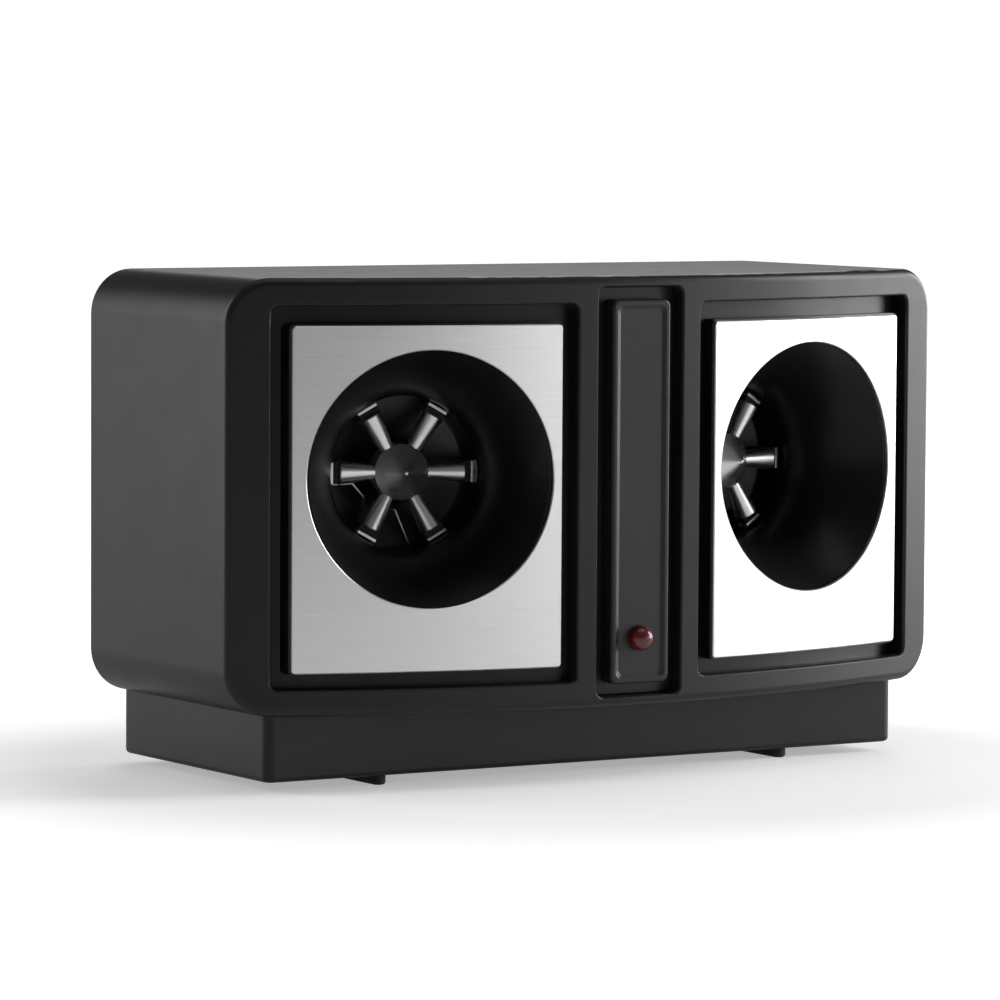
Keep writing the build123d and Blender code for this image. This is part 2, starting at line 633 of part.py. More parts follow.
def make_horn_screws():
    shape = screw(1.0, EAR_D + EAR_T - 3.3, 2.2, 1.3)
    corners = [(u, v) for u in (-HORN_SCREW, HORN_SCREW) for v in (-HORN_SCREW, HORN_SCREW)]
    return Compound(children=[speaker(side) * Pos(u, 3.3, v) * shape for side in (-1, 1) for u, v in corners])


def make_driver_screws():
    shape = screw(1.0, 4.2, 2.0, 1.2)
    low = REAR_D + 2.5 - 4.2
    places = [speaker(side) * p for side in (-1, 1) for p in driver_screw_places()]
    return Compound(children=[p * Pos(0, low, 0) * shape for p in places])


def all_nodes():
    frame_right = make_frame_right()
    plate_right = make_plate_right()
    nodes = {
        "front_shell": make_shell(),
        "rear_cover": make_rear_cover(),
        "base": make_base(),
        "foot_left": make_foot(-1),
        "foot_right": make_foot(1),
        "centre_strip": make_strip(),
        "led": make_led(),
        "led_leads": make_led_leads(),
        "led_wires": Compound(children=[make_led_wire(-1.27), make_led_wire(1.27)]),
        "speaker_frame_right": frame_right,
        "speaker_frame_left": mirrored(frame_right),
        "face_plate_right": plate_right,
        "face_plate_left": mirrored(plate_right),
        "circuit_board": make_board(),
        "controller_chip": make_chip(-22.0, Y_APEX + 52.0),
        "voltage_regulator": make_regulator(14.0, Y_APEX + 58.0),
        "led_header": make_header(*LED_HEADER),
        "dc_jack": make_jack(),
        "dc_jack_pin": make_jack_pin(),
        "mode_switch_can": make_switch_can(),
        "mode_switch_knob": make_switch_knob(),
        "rear_screws": make_rear_screws(),
        "base_screws": make_base_screws(),
        "board_screws": make_board_screws(),
        "frame_screws": make_frame_screws(),
        "horn_screws": make_horn_screws(),
        "driver_screws": make_driver_screws(),
    }
    speaker_parts = {
        "horn": make_horn(),
        "phase_plug": make_plug(),
        "driver_cap": make_driver_cap(),
        "diaphragm": make_diaphragm(),
        "piezo_plate": make_piezo_plate(),
        "piezo_ceramic": make_piezo_ceramic(),
        "driver_leads": make_driver_leads(),
        "driver_terminals": make_terminals(),
    }
    for side, word in ((-1, "left"), (1, "right")):
        for name, shape in speaker_parts.items():
            nodes[f"{name}_{word}"] = speaker(side) * shape
        nodes[f"capacitor_{word}"] = make_capacitor(side * 11.0 + 2.0, Y_APEX + 40.0, 4.0, 11.0)
        nodes[f"coil_{word}"] = make_coil(side * 36.0, Y_APEX + 34.0)
        nodes[f"coil_winding_{word}"] = make_winding(side * 36.0, Y_APEX + 34.0)
        nodes[f"transistor_{word}"] = make_transistor(side * 26.0, Y_APEX + 36.0)
        nodes[f"wire_header_{word}"] = make_header(side * HEADER_X, HEADER_Y)
        nodes[f"speaker_wire_red_{word}"] = make_speaker_wire(side, 4.0)
        nodes[f"speaker_wire_black_{word}"] = make_speaker_wire(side, -4.0)
    return nodes


def main():
    os.makedirs("parts", exist_ok=True)
    for name, shape in all_nodes().items():
        export_step(shape, f"parts/{name}.step")
        solids = shape.solids()
        valid = all(s.is_valid for s in solids)
        print(f"{name:28s} solids {len(solids)}  volume {shape.volume:10.1f}  valid {valid}")


main()
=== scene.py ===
"""Looks of the ultrasonic pest repeller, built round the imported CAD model.

The frame's nodes keep their shapes. This script gives each one a procedural material, shades
the front shell by its true normals, and replaces the pieces that need finer modelling: the
status lamp and the two phase plugs. Lengths are in metres.
"""

import json
import math

import bmesh
import bpy
from mathutils import Matrix, Vector


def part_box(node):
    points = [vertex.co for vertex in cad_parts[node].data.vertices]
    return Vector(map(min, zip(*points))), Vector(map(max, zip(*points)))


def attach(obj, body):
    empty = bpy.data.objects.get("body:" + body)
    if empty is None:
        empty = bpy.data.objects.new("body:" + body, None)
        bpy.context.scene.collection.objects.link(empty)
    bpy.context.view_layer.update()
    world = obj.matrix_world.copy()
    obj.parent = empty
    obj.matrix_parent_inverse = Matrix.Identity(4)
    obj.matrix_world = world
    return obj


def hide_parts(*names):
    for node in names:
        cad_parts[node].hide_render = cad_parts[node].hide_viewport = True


MM = 0.001

# ---- shape of the front shell ----
BOW_R = 196 * MM
CORNER_R = 9 * MM
EDGE_R = 1.8 * MM

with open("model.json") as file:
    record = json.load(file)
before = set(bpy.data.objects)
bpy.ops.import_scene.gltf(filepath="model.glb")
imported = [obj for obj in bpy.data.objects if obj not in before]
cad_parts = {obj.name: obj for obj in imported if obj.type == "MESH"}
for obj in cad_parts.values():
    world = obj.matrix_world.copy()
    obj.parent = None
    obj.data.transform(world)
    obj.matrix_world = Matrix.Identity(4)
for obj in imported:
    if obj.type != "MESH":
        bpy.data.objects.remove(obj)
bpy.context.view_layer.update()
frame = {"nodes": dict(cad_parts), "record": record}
nodes = frame["nodes"]

# ---- places taken from the frame ----
shell_low, shell_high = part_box("front_shell")
led_low, led_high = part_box("led")


# ---- node materials ----
class Finish:
    """One Principled material, with short ways to wire its nodes."""

    def __init__(self, name, color, roughness, metallic=0.0, **sockets):
        self.material = bpy.data.materials.new(name)
        self.material.use_nodes = True
        self.tree = self.material.node_tree
        self.shader = self.tree.nodes["Principled BSDF"]
        self.shader.inputs["Base Color"].default_value = (*color, 1.0)
        self.shader.inputs["Roughness"].default_value = roughness
        self.shader.inputs["Metallic"].default_value = metallic
        for key, value in sockets.items():
            self.shader.inputs[key.replace("_", " ")].default_value = value
        self.place = self.tree.nodes.new("ShaderNodeTexCoord").outputs["Object"]

    def node(self, kind, inputs, **settings):
        """Adds a node, with its settings made and each input set to a value or linked to a socket."""
        made = self.tree.nodes.new(kind)
        for key, value in settings.items():
            setattr(made, key, value)
        for key, value in inputs.items():
            if isinstance(value, bpy.types.NodeSocket):
                self.tree.links.new(value, made.inputs[key])
            else:
                made.inputs[key].default_value = value
        return made

    def noise(self, size, stretch=(1.0, 1.0, 1.0), detail=3.0, rough=0.55):
        """Noise whose features are about size across, stretched by one over stretch."""
        spread = self.node("ShaderNodeMapping", {"Vector": self.place, "Scale": stretch})
        inputs = {"Vector": spread.outputs["Vector"], "Scale": 1.0 / size}
        inputs.update({"Detail": detail, "Roughness": rough})
        return self.node("ShaderNodeTexNoise", inputs).outputs["Fac"]

    def remap(self, value, low, high, to_low=0.0, to_high=1.0):
        """Moves the range low to high onto to_low to to_high, and clamps it there."""
        inputs = {"Value": value, "From Min": low, "From Max": high, "To Min": to_low, "To Max": to_high}
        return self.node("ShaderNodeMapRange", inputs).outputs["Result"]

    def math(self, operation, first, second):
        return self.node("ShaderNodeMath", {0: first, 1: second}, operation=operation).outputs["Value"]

    def mix(self, factor, first, second):
        """Color between two, by factor."""
        inputs = {0: factor, 6: (*first, 1.0), 7: (*second, 1.0)}
        return self.node("ShaderNodeMix", inputs, data_type="RGBA").outputs[2]

    def link(self, value, socket):
        self.tree.links.new(value, self.shader.inputs[socket])

    def bump(self, *layers):
        """Stacks bumps of (height, depth): depth is how far a height of 1 stands out."""
        normal = None
        for height, depth in layers:
            inputs = {"Height": height, "Distance": depth, "Strength": 1.0}
            if normal is not None:
                inputs["Normal"] = normal
            normal = self.node("ShaderNodeBump", inputs).outputs["Normal"]
        self.link(normal, "Normal")

    def edges(self, radius):
        """1 on edges sharper than radius, 0 on open faces."""
        rounded = self.node("ShaderNodeBevel", {"Radius": radius}, samples=4).outputs["Normal"]
        flat = self.node("ShaderNodeNewGeometry", {}).outputs["Normal"]
        dot = self.node("ShaderNodeVectorMath", {0: rounded, 1: flat}, operation="DOT_PRODUCT")
        return self.remap(dot.outputs["Value"], 0.995, 0.90)


def shaded(color, level):
    return tuple(part * level for part in color)


def moulded_plastic(name, dark, light, roughness, grain, specular):
    """Spark-textured black moulding: fine grain, a slow waviness, uneven gloss, polished edges."""
    made = Finish(name, dark, roughness, IOR=1.5, Specular_IOR_Level=specular)
    blotch = made.noise(28 * MM, detail=4.0)
    made.link(made.mix(made.remap(blotch, 0.35, 0.7), dark, light), "Base Color")
    uneven = 0.035
    patchy = made.remap(made.noise(12 * MM), 0.3, 0.7, roughness - uneven, roughness + uneven)
    polish = made.math("MULTIPLY", made.edges(0.6 * MM), 0.09)
    made.link(made.math("SUBTRACT", patchy, polish), "Roughness")
    waves = made.noise(50 * MM, detail=1.0)
    fine = made.noise(grain, detail=2.0, rough=0.6)
    made.bump((waves, 0.04 * MM), (fine, 0.01 * MM))
    return made.material


def brushed_metal(name, color, streak):
    """Aluminium brushed along X: long fine scratches, tangent round the upright axis."""
    made = Finish(name, color, 0.3, 1.0, Anisotropic=0.5)
    fine = made.noise(streak, stretch=(0.02, 0.02, 1.0), detail=2.0, rough=0.7)
    coarse = made.noise(streak * 4, stretch=(0.03, 0.03, 1.0), rough=0.6)
    both = made.math("ADD", made.math("MULTIPLY", fine, 0.6), made.math("MULTIPLY", coarse, 0.4))
    made.link(made.mix(made.remap(both, 0.3, 0.7), shaded(color, 0.9), color), "Base Color")
    made.link(made.remap(both, 0.3, 0.7, 0.28, 0.38), "Roughness")
    tangent = made.node("ShaderNodeTangent", {}, direction_type="RADIAL", axis="Z").outputs["Tangent"]
    made.link(tangent, "Tangent")
    made.bump((coarse, 0.004 * MM), (fine, 0.003 * MM))
    return made.material


def gloss_plastic(name, color, roughness):
    """Polished black moulding with faint flow marks."""
    made = Finish(name, color, roughness, IOR=1.5, Specular_IOR_Level=0.22)
    flow = made.noise(10 * MM, detail=2.0)
    made.link(made.remap(flow, 0.3, 0.7, roughness - 0.03, roughness + 0.05), "Roughness")
    made.bump((flow, 0.02 * MM), (made.noise(0.6 * MM, detail=2.0), 0.0012 * MM))
    return made.material


def metallised(name, color):
    """Vacuum-metallised plastic: bright, with a fine satin."""
    made = Finish(name, color, 0.3, 1.0)
    made.link(made.remap(made.noise(3 * MM), 0.3, 0.7, 0.26, 0.34), "Roughness")
    made.bump((made.noise(0.8 * MM, detail=2.0), 0.0008 * MM))
    return made.material


def plated(name, color, roughness):
    """Small metal parts, plated or bare: stained, with a fine tooth."""
    made = Finish(name, color, roughness, 1.0)
    stain = made.noise(1.2 * MM, detail=4.0)
    made.link(made.remap(stain, 0.3, 0.7, roughness - 0.08, roughness + 0.12), "Roughness")
    made.link(made.mix(stain, shaded(color, 0.8), color), "Base Color")
    made.bump((made.noise(0.4 * MM), 0.005 * MM))
    return made.material


def epoxy_lens(name, color):
    """Tinted clear resin, smooth, with a faint haze."""
    made = Finish(name, color, 0.2, IOR=1.6, Transmission_Weight=0.5, Specular_IOR_Level=0.8)
    haze = made.noise(1.2 * MM, detail=2.0)
    made.link(made.remap(haze, 0.3, 0.7, 0.18, 0.24), "Roughness")
    made.bump((haze, 0.004 * MM))
    return made.material


def plain(name, color, roughness, depth=0.006 * MM, metallic=0.0):
    """Small inner parts: a fine grain and a mottled tone."""
    made = Finish(name, color, roughness, metallic)
    mottle = made.noise(4.5 * MM, detail=4.0)
    made.link(made.mix(made.remap(mottle, 0.3, 0.7), shaded(color, 0.8), color), "Base Color")
    made.link(made.remap(mottle, 0.3, 0.7, roughness - 0.06, roughness + 0.06), "Roughness")
    made.bump((made.noise(0.5 * MM, detail=2.0), depth))
    return made.material


def grey(level):
    return (level, level, level)


SLOTS = {
    "housing_black": moulded_plastic("housing", grey(0.012), grey(0.016), 0.36, 0.35 * MM, 0.36),
    "strip_black": moulded_plastic("strip", grey(0.016), grey(0.021), 0.36, 0.35 * MM, 0.4),
    "frame_black": moulded_plastic("speaker_frame", grey(0.006), grey(0.009), 0.34, 0.4 * MM, 0.35),
    "plate_aluminium": brushed_metal("face_plate", (0.93, 0.93, 0.925), 0.12 * MM),
    "horn_black": gloss_plastic("horn", grey(0.006), 0.3),
    "plug_silver": metallised("phase_plug", (0.82, 0.82, 0.81)),
    "cap_black": plain("driver_cap", grey(0.03), 0.5),
    "diaphragm_film": plain("diaphragm", grey(0.012), 0.35),
    "brass": plain("brass", (0.75, 0.55, 0.25), 0.3, metallic=1.0),
    "ceramic": plain("ceramic", (0.78, 0.76, 0.70), 0.55),
    "tinned_wire": plated("tinned_wire", (0.75, 0.75, 0.74), 0.3),
    "rubber_black": plain("rubber", grey(0.022), 0.75, depth=0.02 * MM),
    "led_red": epoxy_lens("led_red", (0.2, 0.008, 0.016)),
    "steel_zinc": plated("zinc", (0.62, 0.62, 0.63), 0.34),
    "board_green": plain("board", (0.02, 0.13, 0.055), 0.35),
    "chip_black": plain("chip", grey(0.02), 0.5),
    "capacitor_sleeve": plain("capacitor", (0.03, 0.05, 0.16), 0.3),
    "ferrite": plain("ferrite", (0.07, 0.07, 0.075), 0.6),
    "copper_wire": plated("copper", (0.75, 0.34, 0.16), 0.3),
    "header_white": plain("nylon", (0.75, 0.74, 0.68), 0.45),
    "jack_black": plain("jack", grey(0.02), 0.4),
    "switch_steel": plated("switch_can", grey(0.66), 0.3),
    "knob_black": plain("knob", grey(0.03), 0.45),
    "wire_red": plain("wire_red", (0.45, 0.02, 0.02), 0.4),
    "wire_black": plain("wire_black", grey(0.02), 0.4),
}


# ---- shading ----
def shape_group(name):
    """Empty node group for a mesh modifier, with its input and output nodes."""
    group = bpy.data.node_groups.new(name, "GeometryNodeTree")
    for direction in ("INPUT", "OUTPUT"):
        group.interface.new_socket("Geometry", in_out=direction, socket_type="NodeSocketGeometry")
    return group, group.nodes.new("NodeGroupInput"), group.nodes.new("NodeGroupOutput")


def sharp_by_angle(limit):
    """Node group that marks edges that turn more than limit degrees as sharp."""
    group, start, end = shape_group("sharp_by_angle")
    angle = group.nodes.new("GeometryNodeInputMeshEdgeAngle")
    turns = group.nodes.new("FunctionNodeCompare")
    turns.operation = "LESS_THAN"
    turns.inputs[1].default_value = math.radians(limit)
    group.links.new(angle.outputs["Unsigned Angle"], turns.inputs[0])
    faces = group.nodes.new("GeometryNodeSetShadeSmooth")
    faces.domain = "FACE"
    edges = group.nodes.new("GeometryNodeSetShadeSmooth")
    edges.domain = "EDGE"
    group.links.new(start.outputs[0], faces.inputs["Geometry"])
    group.links.new(faces.outputs[0], edges.inputs["Geometry"])
    group.links.new(turns.outputs[0], edges.inputs["Shade Smooth"])
    group.links.new(edges.outputs[0], end.inputs[0])
    return group


JOIN_GAP = 0.001 * MM   # vertices nearer than this are one
SHARP = sharp_by_angle(28.0)


def even_shading(obj):
    """Joins the vertices that the CAD mesh splits along its seams and shades across them."""
    weld = obj.modifiers.new("weld", "WELD")
    weld.merge_threshold = JOIN_GAP
    sharp = obj.modifiers.new("sharp", "NODES")
    sharp.node_group = SHARP
    even = obj.modifiers.new("even", "WEIGHTED_NORMAL")
    even.mode = "FACE_AREA_WITH_ANGLE"
    even.weight = 50
    even.keep_sharp = True


class Field:
    """A geometry-node value with ordinary arithmetic: numbers by +, - and *, vectors by name."""

    def __init__(self, group, socket):
        self.group = group
        self.socket = socket

    def made(self, kind, operation, *values, output=0):
        node = self.group.nodes.new(kind)
        node.operation = operation
        for socket, value in zip(node.inputs, values):
            if isinstance(value, Field):
                self.group.links.new(value.socket, socket)
            else:
                socket.default_value = value
        return Field(self.group, node.outputs[output])

    def number(self, operation, *values):
        return self.made("ShaderNodeMath", operation, self, *values)

    def vector(self, operation, *values):
        return self.made("ShaderNodeVectorMath", operation, self, *values)

    def measure(self, operation, *values):
        """A number from vectors, such as a length."""
        return self.made("ShaderNodeVectorMath", operation, self, *values, output=1)

    def __add__(self, other):
        return self.number("ADD", other)

    def __sub__(self, other):
        return self.number("SUBTRACT", other)

    def __mul__(self, other):
        return self.number("MULTIPLY", other)

    def above(self, low):
        return self.number("MAXIMUM", low)

    def scaled(self, factor):
        node = self.group.nodes.new("ShaderNodeVectorMath")
        node.operation = "SCALE"
        self.group.links.new(self.socket, node.inputs[0])
        self.group.links.new(factor.socket, node.inputs["Scale"])
        return Field(self.group, node.outputs[0])


def exact_normals(centre, half, corner_r, bow_centre_y, bow_r, edge_r):
    """Node group that gives the outer skin of the shell its true normals.

    The skin is a rounded box along Y, cut by an upright cylinder of radius bow_r, with a
    fillet of edge_r where the two meet. Each normal comes from how near a point is to both,
    and is used only on that skin and where it agrees with the face it is on.
    """
    group, start, end = shape_group("exact_normals")
    place = Field(group, group.nodes.new("GeometryNodeInputPosition").outputs[0])
    across = place.vector("SUBTRACT", centre).vector("MULTIPLY", (1, 0, 1))
    side = across.vector("SIGN")
    reach = across.vector("ABSOLUTE").vector("SUBTRACT", (half[0] - corner_r, 0, half[1] - corner_r))
    outward = reach.vector("MAXIMUM", (0, 0, 0))
    box_gap = outward.measure("LENGTH") - corner_r
    box_normal = outward.vector("NORMALIZE").vector("MULTIPLY", side)
    spoke = place.vector("SUBTRACT", (0, bow_centre_y, 0)).vector("MULTIPLY", (1, 1, 0))
    bow_gap = spoke.measure("LENGTH") - bow_r
    bow_normal = spoke.vector("NORMALIZE")
    share = box_normal.measure("DOT_PRODUCT", bow_normal)
    near_box = (box_gap + edge_r).above(0.0)
    near_bow = (bow_gap + edge_r).above(0.0)
    by_box = box_normal.scaled((near_box - share * near_bow).above(0.0))
    by_bow = bow_normal.scaled((near_bow - share * near_box).above(0.0))
    normal = by_box.vector("ADD", by_bow).vector("NORMALIZE")

    skin_depth = 0.06 * MM
    fillet_depth = 0.01 * MM
    on_skin = box_gap.number("MAXIMUM", bow_gap).number("GREATER_THAN", -skin_depth)
    on_fillet = near_box.number("MINIMUM", near_bow).number("GREATER_THAN", fillet_depth)
    current = group.nodes.new("GeometryNodeInputNormal")
    face_normal = Field(group, current.outputs["True Normal"])
    agrees = normal.measure("DOT_PRODUCT", face_normal).number("GREATER_THAN", 0.7)
    chosen = on_skin.number("MAXIMUM", on_fillet) * agrees
    pick = group.nodes.new("ShaderNodeMix")
    pick.data_type = "VECTOR"
    group.links.new(chosen.socket, pick.inputs[0])
    group.links.new(current.outputs["Normal"], pick.inputs[4])
    group.links.new(normal.socket, pick.inputs[5])
    store = group.nodes.new("GeometryNodeSetMeshNormal")
    store.mode = "FREE"
    store.domain = "CORNER"
    group.links.new(start.outputs[0], store.inputs["Mesh"])
    group.links.new(pick.outputs[1], store.inputs["Custom Normal"])
    group.links.new(store.outputs[0], end.inputs[0])
    return group


for part in frame["record"]["subparts"]:
    obj = nodes[part["node"]]
    obj.data.materials.clear()
    obj.data.materials.append(SLOTS[part["material_slot"]])

shell_centre = (shell_low + shell_high) / 2
shell_half = (shell_high - shell_low) / 2
skin = nodes["front_shell"].modifiers.new("skin", "NODES")
skin.node_group = exact_normals(
    tuple(shell_centre), (shell_half.x, shell_half.z), CORNER_R, shell_low.y + BOW_R, BOW_R, EDGE_R
)


# ---- pieces that need finer modelling ----
def arc(centre, radius, start, end, steps):
    """Points (radius, depth) round a centre, by angle in degrees from the inward direction."""
    angles = [math.radians(start + (end - start) * i / steps) for i in range(steps + 1)]
    return [(centre[0] + radius * math.sin(a), centre[1] + radius * math.cos(a)) for a in angles]


def lathe(shape, profile, place=Matrix(), steps=64):
    """Adds a closed solid of revolution about local Y: profile runs (radius, depth) front to back."""
    rings = []
    for radius, depth in profile:
        turns = [2 * math.pi * i / steps for i in range(steps)] if radius > JOIN_GAP else [0.0]
        points = [Vector((radius * math.cos(t), depth, radius * math.sin(t))) for t in turns]
        rings.append([shape.verts.new(place @ point) for point in points])
    made = []
    for ahead, behind in zip(rings, rings[1:]):
        for i in range(steps):
            corners = [ahead[i % len(ahead)], ahead[(i + 1) % len(ahead)]]
            corners += [behind[(i + 1) % len(behind)], behind[i % len(behind)]]
            made.append(shape.faces.new(list(dict.fromkeys(corners))))
    bmesh.ops.recalc_face_normals(shape, faces=made)


def turned(name, profile, origin, material, steps=64):
    """One object that is a solid of revolution, with its profile measured from origin."""
    shape = bmesh.new()
    lathe(shape, profile, steps=steps)
    return piece_from(name, shape, origin, material)


def brick(shape, low, high, place=Matrix(), rounding=0.0):
    """Adds a block between two corners, with its edges rounded if a rounding is given."""
    low, high = Vector(low), Vector(high)
    middle = Matrix.Translation((low + high) / 2) @ Matrix.Diagonal((*(high - low), 1))
    verts = bmesh.ops.create_cube(shape, size=1.0, matrix=place @ middle)["verts"]
    if rounding:
        edges = list({e for v in verts for e in v.link_edges})
        bmesh.ops.bevel(shape, geom=edges, offset=rounding, segments=3, profile=0.5, affect="EDGES")


def piece_from(name, shape, origin, material):
    """Object made from a finished bmesh, smooth shaded with its sharp edges kept."""
    mesh = bpy.data.meshes.new(name)
    shape.to_mesh(mesh)
    shape.free()
    mesh.shade_smooth()
    mesh.materials.append(material)
    made = bpy.data.objects.new(name, mesh)
    made.location = origin
    bpy.context.scene.collection.objects.link(made)
    even_shading(made)
    return made


LENS_STEP = 0.4 * MM      # how far the flange stands out of the lens, all round
FLANGE_T = 1.0 * MM
FLANGE_ROUND = 0.15 * MM
FLANGE_BEVEL = 0.1 * MM   # on the flange's back edge
CUP_R = 1.1 * MM
POST_R = 0.35 * MM
CUP = [   # radius and depth behind the lens's tip: the floor, the rim, the outside and the post
    (0, 3.7 * MM),
    (0.45 * MM, 3.7 * MM),
    (0.95 * MM, 3.0 * MM),
    (CUP_R, 3.0 * MM),
    (CUP_R, 3.6 * MM),
    (0.7 * MM, 4.6 * MM),
    (POST_R, 5.0 * MM),
    (POST_R, 8.2 * MM),
    (0, 8.2 * MM),
]


def make_lamp():
    """Red lamp: an epoxy lens with a domed end and a flange, round a small metal cup on a post."""
    flange_r = (led_high.x - led_low.x) / 2
    lens_r = flange_r - LENS_STEP
    length = led_high.y - led_low.y
    origin = Vector(((led_low.x + led_high.x) / 2, led_low.y, (led_low.z + led_high.z) / 2))
    flange_at = length - FLANGE_T
    lens = arc((0, lens_r), lens_r, 180, 90, 20)
    lens += [(lens_r, flange_at - FLANGE_ROUND)]
    lens += arc((flange_r - FLANGE_ROUND, flange_at + FLANGE_ROUND), FLANGE_ROUND, 180, 90, 4)
    lens += [(flange_r, length - FLANGE_BEVEL), (flange_r - FLANGE_BEVEL, length), (0, length)]
    lamp = turned("lamp", lens, origin, SLOTS["led_red"])
    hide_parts("led")
    seat = turned("lamp_cup", CUP, origin, SLOTS["tinned_wire"], 32)
    for piece in (lamp, seat):
        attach(piece, "housing")


# ---- phase plug: radii are from its own axis, and depths (_D, _BACK) from the face plate ----
HORN_BETA = math.radians(13.3)
PLUG_SPLAY = math.radians(1.2)   # the plug stands a little outward of the horn's axis
THROAT_REAR = 27.0 * MM
RING_T = 1.5 * MM
TIP_D = 18.8 * MM
TIP_R = 0.5 * MM
HUB_R = 5.6 * MM
HUB_D = 22.8 * MM
HUB_BEVEL = 0.4 * MM
HUB_BELLY = 0.88                 # 1 is a straight cone, less is fuller
HUB_BACK = 27.6 * MM
ARMS = 6
SPOKE_D = 24.5 * MM
SPOKE_TILT = 3.0                 # degrees, outer end towards the front
SPOKE_R0 = 1.35 * MM
SPOKE_R1 = 2.4 * MM
SPOKE_START = 4.6 * MM
SPOKE_END = 13.2 * MM
SPOKE_ROUND = 0.3 * MM
BAR_IN = 14.3 * MM
BAR_OUT = 15.0 * MM
BAR_W = 4.4 * MM
BAR_D = 22.3 * MM
BAR_BACK = 25.0 * MM
BAR_ROUND = 0.15 * MM
SEAT_D = 22.7 * MM
RING_IN = 15.6 * MM
RING_OUT = 18.0 * MM
LAP = 0.1 * MM                   # how far one solid runs into the next, to be joined with it


def hub_profile(steps=16):
    """A rounded tip, a slightly bellied cone and a short barrel."""
    cone_d = TIP_D + TIP_R * 0.5
    points = [(0, TIP_D), (TIP_R * 0.6, TIP_D + TIP_R * 0.15), (TIP_R, cone_d)]
    for i in range(1, steps + 1):
        t = i / steps
        points.append((TIP_R + (HUB_R - TIP_R) * t, cone_d + (HUB_D - cone_d) * t ** HUB_BELLY))
    points += [(HUB_R, HUB_D + HUB_BEVEL), (HUB_R, HUB_BACK), (0, HUB_BACK)]
    return points


def spoke_profile():
    """A cone along the arm that ends in a small rounding."""
    r = SPOKE_ROUND
    points = [(0, SPOKE_START), (SPOKE_R0, SPOKE_START), (SPOKE_R1, SPOKE_END - r)]
    points += [(SPOKE_R1 - 0.3 * r, SPOKE_END - 0.3 * r), (SPOKE_R1 - r, SPOKE_END), (0, SPOKE_END)]
    return points


def make_plug(side):
    """Silver hub, spokes and bars, and the black seat that carries them: a ring with six blocks."""
    node = "phase_plug_" + side
    sign = 1 if side == "right" else -1
    half = BAR_W / 2
    inner = half - LAP
    back = THROAT_REAR + RING_T
    silver, bars, blocks, ring = bmesh.new(), bmesh.new(), bmesh.new(), bmesh.new()
    lathe(silver, hub_profile(), steps=96)
    lean = Matrix.Rotation(math.radians(-90 - SPOKE_TILT), 4, "Z")
    for k in range(ARMS):
        arm = Matrix.Rotation(math.radians(360 / ARMS * k), 4, "Y")
        lathe(silver, spoke_profile(), arm @ Matrix.Translation((0, SPOKE_D, 0)) @ lean, 48)
        brick(bars, (BAR_IN, BAR_D, -half), (BAR_OUT, BAR_BACK, half), arm, BAR_ROUND)
        brick(blocks, (SPOKE_END - 2 * LAP, SEAT_D, -inner), (BAR_IN + LAP, back, inner), arm)
        outer = (RING_IN + 5 * LAP, back - LAP, inner)
        brick(blocks, (BAR_IN, BAR_BACK - LAP, -inner), outer, arm)
    rim = [(RING_IN, THROAT_REAR), (RING_OUT, THROAT_REAR), (RING_OUT, back), (RING_IN, back)]
    lathe(ring, [*rim, rim[0]], steps=96)
    low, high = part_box(node)
    beta = sign * HORN_BETA
    across = BOW_R * math.sin(beta)
    behind = BOW_R * (1 - math.cos(beta))
    face = Vector((across, shell_low.y + behind, (low.z + high.z) / 2))
    place = Matrix.Translation(face) @ Matrix.Rotation(beta + sign * PLUG_SPLAY, 4, "Z")
    plug = joined("plug_" + side, silver, bars, SLOTS["plug_silver"])
    seat = joined("plug_seat_" + side, blocks, ring, SLOTS["horn_black"])
    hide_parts(node)
    for piece in (plug, seat):
        piece.matrix_world = place
        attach(piece, "housing")


def joined(name, first, second, material):
    """One solid from two bmeshes of overlapping closed shells."""
    body = piece_from(name + "_body", first, (0, 0, 0), material)
    other = piece_from(name + "_other", second, (0, 0, 0), material)
    for piece in (body, other):
        piece.modifiers.clear()
        weld = piece.modifiers.new("weld", "WELD")
        weld.merge_threshold = JOIN_GAP
    union = body.modifiers.new("union", "BOOLEAN")
    union.operation = "UNION"
    union.solver = "EXACT"
    union.use_self = True
    union.object = other
    bpy.context.view_layer.update()
    evaluated = body.evaluated_get(bpy.context.evaluated_depsgraph_get())
    solid = bpy.data.meshes.new_from_object(evaluated)
    for piece in (body, other):
        bpy.data.objects.remove(piece)
    solid.name = name
    made = bpy.data.objects.new(name, solid)
    bpy.context.scene.collection.objects.link(made)
    solid.shade_smooth()
    even_shading(made)
    return made


make_lamp()
for side in ("left", "right"):
    make_plug(side)


# ---- camera ----
def direction(azimuth, elevation):
    """Unit vector from the object towards an azimuth, 0 at the front and 90 at +X, in degrees."""
    a, e = math.radians(azimuth), math.radians(elevation)
    return Vector((math.sin(a) * math.cos(e), -math.cos(a) * math.cos(e), math.sin(e)))


def camera_at(azimuth, elevation, roll, distance, target, lens):
    """Camera that looks at target from that direction, turned by roll degrees about its view."""
    back = direction(azimuth, elevation)
    data = bpy.data.cameras.new("camera")
    data.lens = lens
    data.clip_start, data.clip_end = 0.05, 50.0
    cam = bpy.data.objects.new("camera", data)
    bpy.context.scene.collection.objects.link(cam)
    cam.rotation_mode = "QUATERNION"
    cam.location = target + back * distance
    level = (-back).to_track_quat("-Z", "Y")
    cam.rotation_quaternion = level @ Matrix.Rotation(math.radians(roll), 3, "Z").to_quaternion()
    bpy.context.scene.camera = cam


TARGET = Vector((-23.8, -22.8, 56.3)) * MM
CAMERA_DISTANCE = 1.1162
LENS_MM = 201.4
camera_at(-31.67, 4.15, 0.34, CAMERA_DISTANCE, TARGET, LENS_MM)


# ---- floor, light and surroundings ----
LIGHT_DISTANCE = 1.3
LIT_POINT = Vector((0, 0, 0.05))   # where every light faces


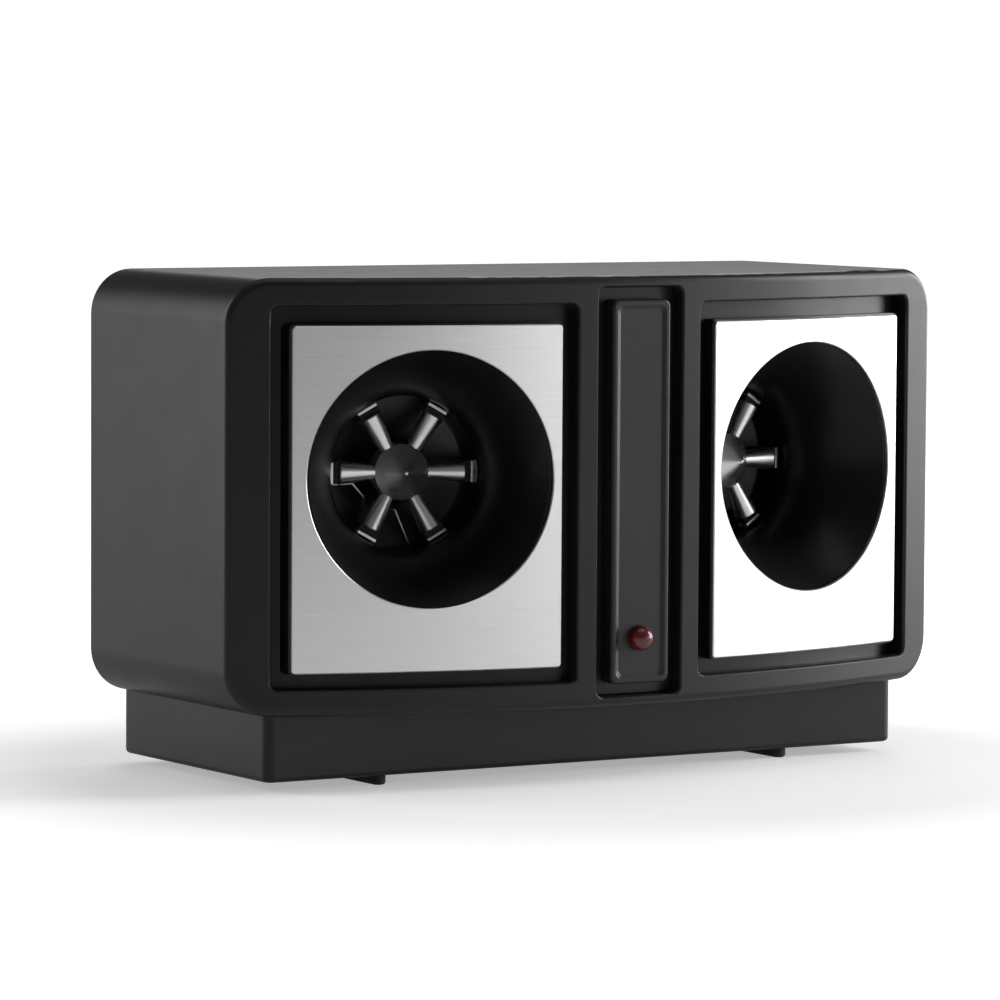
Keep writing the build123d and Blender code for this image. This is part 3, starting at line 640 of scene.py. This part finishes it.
def softbox(name, azimuth, elevation, width, height, brightness):
    """Area light of even brightness, facing the object from that direction."""
    back = direction(azimuth, elevation)
    data = bpy.data.lights.new(name, "AREA")
    data.shape = "RECTANGLE"
    data.size, data.size_y = width, height
    data.energy = math.pi * width * height * brightness
    light = bpy.data.objects.new(name, data)
    bpy.context.scene.collection.objects.link(light)
    light.location = LIT_POINT + back * LIGHT_DISTANCE
    light.rotation_mode = "QUATERNION"
    light.rotation_quaternion = (-back).to_track_quat("-Z", "Y")
    light.visible_camera = False


FLOOR_HALF = 6.0
FLOOR_FADE = (0.10, 0.24)   # distances over which the floor turns into plain white
FLOOR_NEAR = 0.38           # how bright the camera sees it, of its own, near the object
FLOOR_GLOW = 0.12           # how bright the object sees it, of its own


def make_floor():
    """Pale floor, shaded near the object and as white as the backdrop further away."""
    mesh = bpy.data.meshes.new("floor")
    r = FLOOR_HALF
    mesh.from_pydata([(-r, -r, 0), (r, -r, 0), (r, r, 0), (-r, r, 0)], [], [(0, 1, 2, 3)])
    floor = bpy.data.objects.new("floor", mesh)
    bpy.context.scene.collection.objects.link(floor)
    made = Finish("floor", grey(0.9), 0.8, Emission_Color=(1, 1, 1, 1))
    made.link(made.mix(made.noise(0.3), grey(0.88), grey(0.9)), "Base Color")
    reach = made.node("ShaderNodeVectorMath", {0: made.place}, operation="LENGTH").outputs["Value"]
    seen = made.node("ShaderNodeLightPath", {}).outputs["Is Camera Ray"]
    white = made.remap(reach, *FLOOR_FADE, FLOOR_NEAR, 1.0)
    glow = made.node("ShaderNodeMix", {"Factor": seen, "A": FLOOR_GLOW, "B": white}).outputs["Result"]
    made.link(glow, "Emission Strength")
    mesh.materials.append(made.material)


def make_world(seen_level, lit_level):
    """Even surroundings: white where the camera sees them, dim as a source of light."""
    world = bpy.data.worlds.new("world")
    bpy.context.scene.world = world
    world.use_nodes = True
    tree = world.node_tree
    background = tree.nodes["Background"]
    background.inputs["Color"].default_value = (1.0, 1.0, 1.0, 1.0)
    seen = tree.nodes.new("ShaderNodeLightPath").outputs["Is Camera Ray"]
    choose = tree.nodes.new("ShaderNodeMix")
    tree.links.new(seen, choose.inputs[0])
    choose.inputs[2].default_value = lit_level
    choose.inputs[3].default_value = seen_level
    tree.links.new(choose.outputs[0], background.inputs["Strength"])


make_floor()
make_world(1.0, 0.10)
softbox("key", 71.0, 14.0, 0.45, 1.1, 9.4)
softbox("edge", 100.0, 4.0, 0.45, 0.7, 6.6)
softbox("front_right", 46.0, -2.0, 0.45, 0.8, 2.4)
softbox("front", 20.0, 3.0, 0.45, 0.6, 0.8)
softbox("rear_left", -135.0, 14.0, 0.60, 0.9, 3.1)
softbox("rear_right", 145.0, 30.0, 0.60, 0.5, 2.2)
softbox("top", 0.0, 88.0, 1.00, 1.0, 0.8)
bpy.context.scene.view_settings.view_transform = "Standard"
